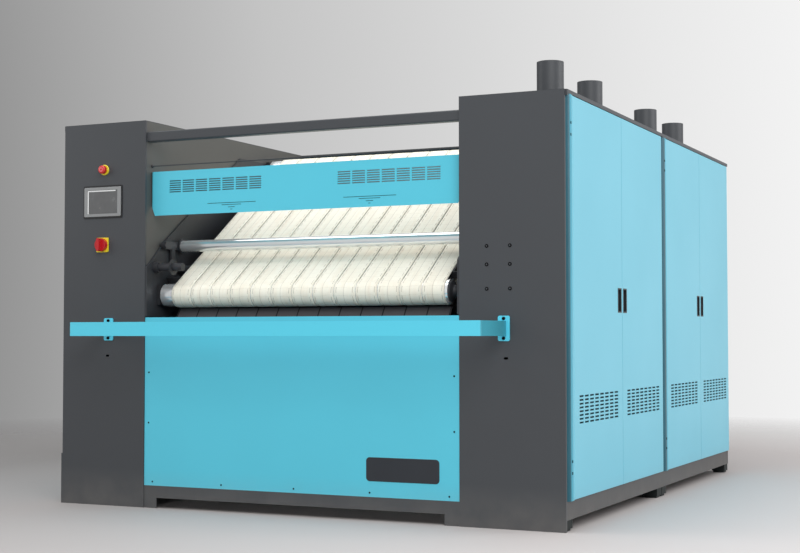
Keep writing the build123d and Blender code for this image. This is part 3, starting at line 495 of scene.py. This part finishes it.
# which CAD parts carry which finish
finishes = (
    (columnPaint, ("left_column", "right_column", "back_columns", "top_bar", "skirt")),
    (roofPaint, ("roof_left", "roof_right", "rear_top_cover", "exhaust_pipes")),
    (bluePaint, ("front_panel", "hood", "rear_panel")),
    (sideLitBluePaint, ("side_covers", "door_1", "door_2", "door_3", "door_4")),
    (pullPlastic, ("door_pull_1", "door_pull_2", "door_pull_3", "door_pull_4")),
    (bentRailShadedPaint, ("guard_rail",)),
    (frontPostShadedPaint, ("post_left_front", "post_right_front")),
    (rearPostShadedPaint, ("post_left_rear", "post_right_rear")),
    (plinthPaint, ("base_frame_front", "base_frame_rear")),
    (feetPaint, ("levelling_feet",)),
    (cheekPaint, ("cheek_left", "cheek_right")),
    (linerPaint, ("side_plate_left", "side_plate_right")),
    (bedPaint, ("feed_bed",)),
    (bearingPaint, ("feed_bearings", "roll_bearings")),
    (guardPaint, ("guard_arms", "guard_shaft")),
    (chromePlate, ("front_roller", "top_roller", "finger_tube")),
    (plainSteel, ("transfer_slide", "delivery_slide", "chest_1", "chest_2", "roll_1", "roll_2", "heater")),
    (zincPlate, ("hinge_pins", "exhaust_fans")),
    (motorPaint, ("drive_motors", "burner")),
    (framePlastic, ("operator_panel",)),
    (stopPlastic, ("stop_button",)),
    (yellowPlastic, ("stop_button_base", "main_switch_plate")),
    (redPlastic, ("main_switch_knob",)),
)
for material, nodeNames in finishes:
    for nodeName in nodeNames:
        part = nodes[nodeName]
        part.data.materials.clear()
        part.data.materials.append(material)
print("CAD parts painted")


def addPiece(name, mesh, material, body, smooth=True):
    piece = bpy.data.objects.new(name, mesh)
    bpy.context.scene.collection.objects.link(piece)
    mesh.materials.append(material)
    if smooth:
        mesh.shade_smooth()
    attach(piece, body)
    return piece


def meshFrom(build, *values):
    mesh = bpy.data.meshes.new("piece")
    work = bmesh.new()
    build(work, *values)
    bmesh.ops.recalc_face_normals(work, faces=work.faces)
    work.to_mesh(mesh)
    work.free()
    return mesh


def skin(work, rings, closed=False):
    # faces from each ring of points to the next; a ring of one point gets a fan
    pairs = list(zip(rings, rings[1:]))
    if closed:
        pairs.append((rings[-1], rings[0]))
    for lower, upper in pairs:
        count = max(len(lower), len(upper))
        for step in range(count):
            after = (step + 1) % count
            if len(lower) == 1:
                work.faces.new((lower[0], upper[after], upper[step]))
            elif len(upper) == 1:
                work.faces.new((lower[step], lower[after], upper[0]))
            else:
                work.faces.new((lower[step], lower[after], upper[after], upper[step]))


def lathe(work, outline, place, direction, steps):
    # an outline of (radius, height) pairs turned about an axis
    turn = Vector((0, 0, 1)).rotation_difference(Vector(direction)).to_matrix().to_4x4()
    matrix = Matrix.Translation(Vector(place)) @ turn
    rings = []
    for radius, height in outline:
        ring = []
        for step in range(steps if radius else 1):
            angle = math.tau * step / steps
            point = Vector((radius * math.cos(angle), radius * math.sin(angle), height))
            ring.append(work.verts.new(matrix @ point))
        rings.append(ring)
    skin(work, rings)


def slabInto(work, low, high):
    corners = bmesh.ops.create_cube(work, size=1.0)["verts"]
    bmesh.ops.scale(work, vec=Vector(high) - Vector(low), verts=corners)
    bmesh.ops.translate(work, vec=(Vector(low) + Vector(high)) / 2, verts=corners)


def roundedPlate(work, centre, plate):
    # a flat plate with rounded corners, facing the front, its edge slightly broken
    width, height, corner, thickness, steps = (
        plate[key] for key in ("width", "height", "corner", "thickness", "steps"))
    outline = []
    for sideX, sideZ, start in ((1, 1, 0), (-1, 1, 90), (-1, -1, 180), (1, -1, 270)):
        for step in range(steps + 1):
            angle = math.radians(start + 90 * step / steps)
            outline.append((sideX * (width / 2 - corner) + corner * math.cos(angle),
                            sideZ * (height / 2 - corner) + corner * math.sin(angle)))
    rings = []
    for depth, inset in ((0.0, 0.0), (thickness * 0.6, 0.0), (thickness, thickness * 0.4)):
        shrink = 1 - 2 * inset / min(width, height)
        rings.append([work.verts.new((centre[0] + across * shrink, centre[1] - depth,
                                      centre[2] + up * shrink)) for across, up in outline])
    skin(work, rings)
    work.faces.new(rings[0])
    work.faces.new(rings[-1])


feedBelts = {
    "count": 13, "pitch": 0.1308, "width": 0.1256, "thickness": 0.0046, "lift": 0.0004,
    "columns": 9, "crowding": 0.7, "edgeDrop": 0.0011, "dropPower": 6,   # points crowd towards the edges
    "arcSteps": 26, "runSteps": 60, "wander": 0.0006, "wanderRate": 3.1, "beltShift": 2.3,
}


def rollerCentre(name):
    low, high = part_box(name)
    return Vector((0, (low.y + high.y) / 2, (low.z + high.z) / 2))


def feedLine():
    # the axes of the two feed rollers, and the radius of the belts' inner face
    low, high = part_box("front_roller")
    return rollerCentre("front_roller"), rollerCentre("top_roller"), (high.z - low.z) / 2 + feedBelts["lift"]


def beltStations():
    # centres and outward directions all round a belt's loop: up the run, round, back under it, round
    lower, upper, _ = feedLine()
    along = (upper - lower).normalized()
    normal = Vector((0, -along.z, along.y))
    span = (upper - lower).length
    stations = []
    for start, end, onward, outward in ((lower, upper, along, normal), (upper, lower, -along, -normal)):
        for step in range(feedBelts["runSteps"]):
            stations.append((start + onward * (span * step / feedBelts["runSteps"]), outward))
        for step in range(feedBelts["arcSteps"]):
            angle = math.pi * step / feedBelts["arcSteps"]
            stations.append((end, outward * math.cos(angle) + onward * math.sin(angle)))
    return stations


def beltProfile():
    # points across the belt's outer face, as places and drops below its full thickness
    half = feedBelts["width"] / 2
    shares = [2 * column / (feedBelts["columns"] - 1) - 1 for column in range(feedBelts["columns"])]
    return [(half * math.copysign(abs(share) ** feedBelts["crowding"], share),
             feedBelts["edgeDrop"] * abs(share) ** feedBelts["dropPower"]) for share in shares]


def buildBelt(work, belt):
    inner = feedLine()[2]
    outer = inner + feedBelts["thickness"]
    half = feedBelts["width"] / 2
    middle = (belt - (feedBelts["count"] - 1) / 2) * feedBelts["pitch"]
    profile = beltProfile()
    run = work.verts.layers.float_vector.new("run")   # the cloth's own coordinates, read by its material
    travelled = 0.0
    last = None
    rings = []
    for centre, outward in beltStations():
        outerPoint = centre + outward * outer
        if last is not None:
            travelled += (outerPoint - last).length
        last = outerPoint
        turn = travelled * feedBelts["wanderRate"] + belt * feedBelts["beltShift"]
        wander = feedBelts["wander"] * math.sin(turn)
        points = [(across, across + wander, outer - drop) for across, drop in profile]
        points += [(half, half, inner), (-half, -half, inner)]
        ring = []
        for across, shifted, radius in points:
            point = centre + outward * radius
            vertex = work.verts.new((middle + shifted, point.y, point.z))
            vertex[run] = Vector((across, travelled, belt))
            ring.append(vertex)
        rings.append(ring)
    skin(work, rings, closed=True)


def addBelts():
    for belt in range(feedBelts["count"]):
        mesh = meshFrom(buildBelt, belt)
        piece = addPiece(f"feedBelt{belt + 1:02d}", mesh, beltMaterial, "frame")
        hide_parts("feed_belts")


addBelts()
print("feed belts made")

rollPadding = {"steps": 150, "columns": 90, "crown": 0.0015, "lap": 0.0012, "thickness": 0.0175,
               "endTaper": 0.004, "taperLength": 0.02}


def buildPadding(work, node):
    # a padded sleeve on its roll: slightly uneven, rounded at the ends, with a step where the cloth laps
    low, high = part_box(node)
    centre = (low + high) / 2
    outer = (high.z - low.z) / 2 - rollPadding["crown"]
    inner = outer - rollPadding["thickness"]
    steps = rollPadding["steps"]

    def ringAt(x, radiusAt):
        ring = []
        for step in range(steps):
            angle = math.tau * step / steps
            radius = radiusAt(step, angle)
            ring.append(work.verts.new((x, centre.y + radius * math.cos(angle),
                                        centre.z + radius * math.sin(angle))))
        return ring

    rings = []
    for column in range(rollPadding["columns"] + 1):
        x = low.x + (high.x - low.x) * column / rollPadding["columns"]
        fromEnd = min(x - low.x, high.x - x)
        taper = rollPadding["endTaper"] * max(0.0, 1 - fromEnd / rollPadding["taperLength"]) ** 2

        def surface(step, angle):
            swell = rollPadding["crown"] * 0.5 * (math.sin(angle * 3 + x * 2.0) * math.sin(x * 5.0))
            return outer + swell - taper - rollPadding["lap"] * (1 - step / steps)

        rings.append(ringAt(x, surface))
    for x in (high.x, low.x):
        rings.append(ringAt(x, lambda step, angle: inner))
    skin(work, rings, closed=True)


for number in (1, 2):
    node = f"padding_{number}"
    mesh = meshFrom(buildPadding, node)
    piece = addPiece(f"rollPadding{number}", mesh, padMaterial, f"ironing_roll_{number}")
    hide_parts(node)
print("roll padding made")

# faces of the machine that the small pieces stand on
casingDepth = 3.57
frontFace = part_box("front_panel")[0].y
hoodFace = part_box("hood")[0].y
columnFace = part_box("back_columns")[1].y - casingDepth
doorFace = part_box("door_1")[1].x
forwards = (0, -1, 0)

screwRows = {
    "columnScrewHeads": {
        "radius": 0.0098, "height": 0.0036,
        "heads": [((x, columnFace, z), forwards) for x in (1.122, 1.248) for z in (1.208, 1.332, 1.426)]},
    "panelScrewHeads": {
        "radius": 0.005, "height": 0.0022,
        "heads": [((x, frontFace, z), forwards) for x, z in (
            (-0.94, 0.763), (0.94, 0.763), (-0.94, 0.479), (0.94, 0.479), (-0.912, 0.148),
            (0.912, 0.148), (-0.457, 0.148), (0.457, 0.148), (0.0, 0.148))]},
    "railScrewHeads": {   # each caps one of the CAD bolts on the rail's plates, which are 6 mm thick
        "radius": 0.0086, "height": 0.0096,
        "heads": [((side * 1.216, columnFace - 0.006, z), forwards)
                  for side in (-1, 1) for z in (1.057, 0.957)]},
    "postScrewHeads": {   # on the first and the second module's posts, at both sides
        "radius": 0.0074, "height": 0.0024,
        "heads": [((side * doorFace, columnFace + start + 0.0675, z), (side, 0, 0))
                  for start in (0.0, 1.785) for z in (0.287, 0.345, 1.978, 2.038) for side in (-1, 1)]},
}


def buildScrews(work, row):
    # domed heads, each with a round socket
    radius, height = row["radius"], row["height"]
    outline = [(0, 0), (radius, 0), (radius, height * 0.35), (radius * 0.9, height * 0.75),
               (radius * 0.55, height), (radius * 0.5, height), (radius * 0.46, height * 0.45),
               (0, height * 0.45)]
    for place, direction in row["heads"]:
        lathe(work, outline, place, direction, 18)


rollerHub = {"start": 0.8635, "end": 0.934, "bore": 0.021, "disc": 0.058, "sleeve": 0.033}


def buildRollerHub(work):
    # a black hub set into the right end of the front roller, with a sleeve on its shaft
    centre = rollerCentre("front_roller")
    start, bore, disc, sleeve = (rollerHub[key] for key in ("start", "bore", "disc", "sleeve"))
    length = rollerHub["end"] - start
    outline = [(bore, 0.0), (disc, 0.0), (disc, 0.006), (disc - 0.005, 0.010), (sleeve + 0.006, 0.016),
               (sleeve, 0.022), (sleeve, length), (bore, length)]
    lathe(work, outline, (start, centre.y, centre.z), (1, 0, 0), 40)


hoodRod = {"end": 0.9695, "depth": 0.066, "height": 1.9427, "radius": 0.0035, "collar": 0.009,
           "collarLength": 0.006}


def buildHoodRod(work):
    # a thin rod from side to side above the hood, with a collar at each end
    radius, collar, length = hoodRod["radius"], hoodRod["collar"], hoodRod["collarLength"]
    span = 2 * hoodRod["end"]
    outline = [(0, 0), (collar, 0), (collar, length), (radius, length), (radius, span - length),
               (collar, span - length), (collar, span), (0, span)]
    lathe(work, outline, (-hoodRod["end"], columnFace + hoodRod["depth"], hoodRod["height"]), (1, 0, 0), 16)


for name, row in screwRows.items():
    addPiece(name, meshFrom(buildScrews, row), screwBlack, "frame", smooth=False)
addPiece("rollerHub", meshFrom(buildRollerHub), guardPaint, "feed_front_roller")
addPiece("hoodRod", meshFrom(buildHoodRod), guardPaint, "frame")
print("screws, hub and rod made")

namePlate = {"x": 0.647, "z": 0.271, "width": 0.42, "height": 0.125, "corner": 0.02, "thickness": 0.0022,
             "steps": 6}


def buildPlate(work):
    roundedPlate(work, (namePlate["x"], frontFace, namePlate["z"]), namePlate)


hoodMarks = {"line": 0.430, "thickness": 0.0026, "proud": 0.0005, "sunk": 0.0004,
             # the height and width of each thin line
             "rows": ((1.713, 0.314), (1.702, 0.127), (1.6885, 0.043), (1.676, 0.012))}


def buildHoodMarks(work):
    half = hoodMarks["thickness"] / 2
    for side in (-1, 1):
        for z, width in hoodMarks["rows"]:
            x = side * hoodMarks["line"]
            slabInto(work, (x - width / 2, hoodFace - hoodMarks["proud"], z - half),
                     (x + width / 2, hoodFace + hoodMarks["sunk"], z + half))


display = {"width": 0.211, "height": 0.136, "corner": 0.002, "thickness": 0.0009, "steps": 3, "sunk": 0.0015,
           # line is the colour of the painted highlight along the frame's inner edge
           "glass": rgb(92, 93, 94), "smear": rgb(106, 107, 108), "line": rgb(240, 242, 242),
           "highlightStart": 0.0015, "highlightEnd": 0.0095, "topHighlightEnd": 0.0075, "rightGap": 0.012}


def buildDisplay(work):
    low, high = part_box("operator_panel")
    centre = ((low.x + high.x) / 2, low.y + display["sunk"], (low.z + high.z) / 2)
    roundedPlate(work, centre, display)


def displayScreen(name, mesh):
    # a switched-off display, with a white painted highlight along the left and the top, where light catches
    # the frame's inner edge
    low = Vector(min(vertex.co[axis] for vertex in mesh.vertices) for axis in range(3))
    high = Vector(max(vertex.co[axis] for vertex in mesh.vertices) for axis in range(3))
    left, top = low.x + display["highlightStart"], high.z - display["highlightStart"]
    finish = Finish(name, Specular_IOR_Level=0.6, Coat_Weight=0.3)
    place = finish.place()
    x, _, z = finish.axes(place)
    # masks for the painted highlight along the left and the top
    leftHighlight = (x > left) * (x < low.x + display["highlightEnd"]) * (z < top)
    topHighlight = (z < top) * (z > high.z - display["topHighlightEnd"]) * (x > left)
    topHighlight = topHighlight * (x < high.x - display["rightGap"])
    smear = finish.noise(place, 22.0, 5.0, 0.65)
    body = finish.mix(smear, display["glass"], display["smear"])
    body = finish.mix((leftHighlight + topHighlight).held(), body, display["line"])
    return finish.set(Base_Color=body, Roughness=0.2 + smear.ramp(0.5, 0.8) * 0.16)


addPiece("barePlate", meshFrom(buildPlate), platePaint, "frame", smooth=False)
addPiece("hoodMarks", meshFrom(buildHoodMarks), screwBlack, "frame", smooth=False)
displayMesh = meshFrom(buildDisplay)
displayGlass = displayScreen("displayGlass", displayMesh)
addPiece("displayGlass", displayMesh, displayGlass, "frame", smooth=False)
print("plate, marks and display made")

doorVents = {"width": 0.69, "low": 0.517, "high": 0.678, "behind": 0.003, "thickness": 0.0015}


# the dark sheet of painted shade behind each door's vents
def buildVentShadeScreen(work, door):
    low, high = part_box(door)
    middle = (low.y + high.y) / 2
    face = doorFace - doorVents["behind"]
    slabInto(work, (face - doorVents["thickness"], middle - doorVents["width"] / 2, doorVents["low"]),
             (face, middle + doorVents["width"] / 2, doorVents["high"]))


def bothSides(work, slab, front, back):
    # a slab at the right and its mirror image at the left
    for side in (-1, 1):
        left, right = sorted((side * slab["inner"], side * slab["outer"]))
        slabInto(work, (left, front, slab["low"]), (right, back, slab["high"]))


hoodStrips = {"inner": 0.228, "outer": 0.853, "low": 1.7795, "high": 1.8575, "behind": 0.0036,
              "thickness": 0.0012, "pitch": 0.0125, "grime": rgb(60, 74, 78),
              "lit": (rgb(78, 120, 130), rgb(168, 186, 190)),    # at the left and at the right
              "dark": (rgb(26, 56, 64), rgb(96, 104, 108))}


def louvreBack(name):
    # the folded strips seen through the hood's slots, in shade to the left and brighter to the right
    finish = Finish(name, Specular_IOR_Level=0.3)
    place = finish.place()
    x, _, z = finish.axes(place)
    fold = 1.0 - ((z - hoodStrips["low"]) / hoodStrips["pitch"]) % 1.0
    grime = finish.noise(place, 40.0, 4.0, 0.7)
    right = x.ramp(-hoodStrips["outer"], hoodStrips["outer"])
    # each fold painted with a highlight along its top and painted shade below it
    body = finish.mix(fold.ramp(0.12, 0.42), finish.mix(right, *hoodStrips["lit"]),
                      finish.mix(right, *hoodStrips["dark"]))
    body = finish.mix(grime.ramp(0.5, 0.8) * 0.3, body, hoodStrips["grime"])
    finish.bump(fold, 0.4, 0.001)
    return finish.set(Base_Color=body, Roughness=0.5 + (grime - 0.5) * 0.2)


def buildHoodBacking(work):
    face = hoodFace + hoodStrips["behind"]
    bothSides(work, hoodStrips, face, face + hoodStrips["thickness"])


cornerCaps = {"inner": 1.5402, "outer": 1.5505, "front": 0.0112, "back": 0.0218, "low": 2.170, "high": 2.1998}


def buildCornerCaps(work):
    bothSides(work, cornerCaps, columnFace + cornerCaps["front"], columnFace + cornerCaps["back"])


for number in (1, 2, 3, 4):
    mesh = meshFrom(buildVentShadeScreen, f"door_{number}")
    addPiece(f"ventShadeScreen{number}", mesh, ventShadeScreen, f"side_door_{number}", smooth=False)
hoodBack = louvreBack("hoodBack")
addPiece("hoodBacking", meshFrom(buildHoodBacking), hoodBack, "frame", smooth=False)
addPiece("roofCornerCaps", meshFrom(buildCornerCaps), roofPaint, "frame", smooth=False)
print("screens and caps made")

floorShadedPaint = {"size": 40.0, "dark": rgb(146, 143, 142), "pale": rgb(216, 210, 209),
              "span": (-3.5, 3.0),   # painted shade: from dark to pale along X
              "fade": (4.0, 9.0)}    # fades out at these distances from the machine's middle


def addFloor():
    mesh = meshFrom(lambda work: bmesh.ops.create_grid(work, x_segments=1, y_segments=1,
                                                       size=floorShadedPaint["size"]))
    floor = bpy.data.objects.new("studioFloor", mesh)
    bpy.context.scene.collection.objects.link(floor)
    finish = Finish("floorShadedPaint", Specular_IOR_Level=0.1)
    place = finish.place()
    x, y, _ = finish.axes(place)
    cloud = finish.noise(place, 0.4, 2.0)
    # painted shade across the floor, darker to the left
    body = finish.mix(x.ramp(*floorShadedPaint["span"]), floorShadedPaint["dark"], floorShadedPaint["pale"])
    body = finish.mix(cloud * 0.06, body, floorShadedPaint["dark"])
    away = (x * x + y * y).root()
    mesh.materials.append(finish.set(Base_Color=body, Roughness=0.7 + (cloud - 0.5) * 0.05,
                                     Alpha=1.0 - away.ramp(*floorShadedPaint["fade"])))


lamps = (   # name, place, target, size in metres, power in watts
    ("keyLight", (5.5, -8.5, 6.5), (0.2, -0.3, 1.0), 6.0, 450.0),
    ("sideLight", (9.0, 1.5, 4.5), (1.5, 0.2, 1.0), 6.0, 300.0),
    ("topLight", (-1.0, -2.0, 8.5), (0.0, 0.0, 1.0), 7.0, 385.0),
    ("leftLight", (-8.0, -5.0, 4.0), (-0.5, -0.5, 1.0), 5.0, 130.0),
)


def addLamps():
    for name, place, target, size, power in lamps:
        lamp = bpy.data.lights.new(name, "AREA")
        lamp.energy = power
        lamp.size = size
        holder = bpy.data.objects.new(name, lamp)
        holder.location = place
        holder.rotation_euler = (Vector(target) - Vector(place)).to_track_quat("-Z", "Y").to_euler()
        bpy.context.scene.collection.objects.link(holder)


studioSky = {
    "light": 0.44, "span": (-0.66, -0.16),
    # the backdrop's tone by how far a view looks to the left, from dark to pale
    "backdrop": ((0.0, rgb(145, 145, 145)), (0.325, rgb(196, 196, 196)), (0.8, rgb(232, 232, 232)),
                 (1.0, rgb(243, 243, 243))),
}


def addWorld():
    # soft even light, behind which every direct or mirrored view sees a smooth backdrop
    world = bpy.data.worlds.new("studioWorld")
    world.use_nodes = True
    sky = Network(world.node_tree)
    light = sky.node("ShaderNodeBackground", {}, {"Color": rgb(255, 255, 255),
                                                  "Strength": studioSky["light"]})
    across = sky.axes(sky.node("ShaderNodeTexCoord").outputs["Generated"])[0]
    tone = sky.node("ShaderNodeValToRGB", {"stops": studioSky["backdrop"]},
                    {"Fac": across.ramp(*studioSky["span"])})
    backdrop = sky.node("ShaderNodeBackground", {}, {"Color": tone.outputs["Color"], "Strength": 1.0})
    path = sky.node("ShaderNodeLightPath").outputs
    seen = (Tone(sky, path["Is Camera Ray"]) + Tone(sky, path["Is Glossy Ray"])
            + Tone(sky, path["Is Transmission Ray"])).held()
    shown = sky.node("ShaderNodeMixShader", {}, {0: seen, 1: light.outputs[0], 2: backdrop.outputs[0]})
    sky.node("ShaderNodeOutputWorld", {}, {"Surface": shown.outputs[0]})
    bpy.context.scene.world = world


camera = {"place": (3.8791, -8.4795, 0.9753), "turn": (92.2883, 0.023, 25.2837),   # metres and degrees
          "lens": 65.555, "sensor": 36.0, "reach": 200.0}


def addCamera():
    lens = bpy.data.cameras.new("photoCamera")
    lens.sensor_fit = "HORIZONTAL"
    lens.sensor_width = camera["sensor"]
    lens.lens = camera["lens"]
    lens.clip_end = camera["reach"]
    holder = bpy.data.objects.new("photoCamera", lens)
    holder.location = camera["place"]
    holder.rotation_euler = [math.radians(angle) for angle in camera["turn"]]
    bpy.context.scene.collection.objects.link(holder)
    bpy.context.scene.camera = holder


addFloor()
addLamps()
addWorld()
addCamera()
bpy.context.scene.view_settings.view_transform = "Standard"
print("studio ready")
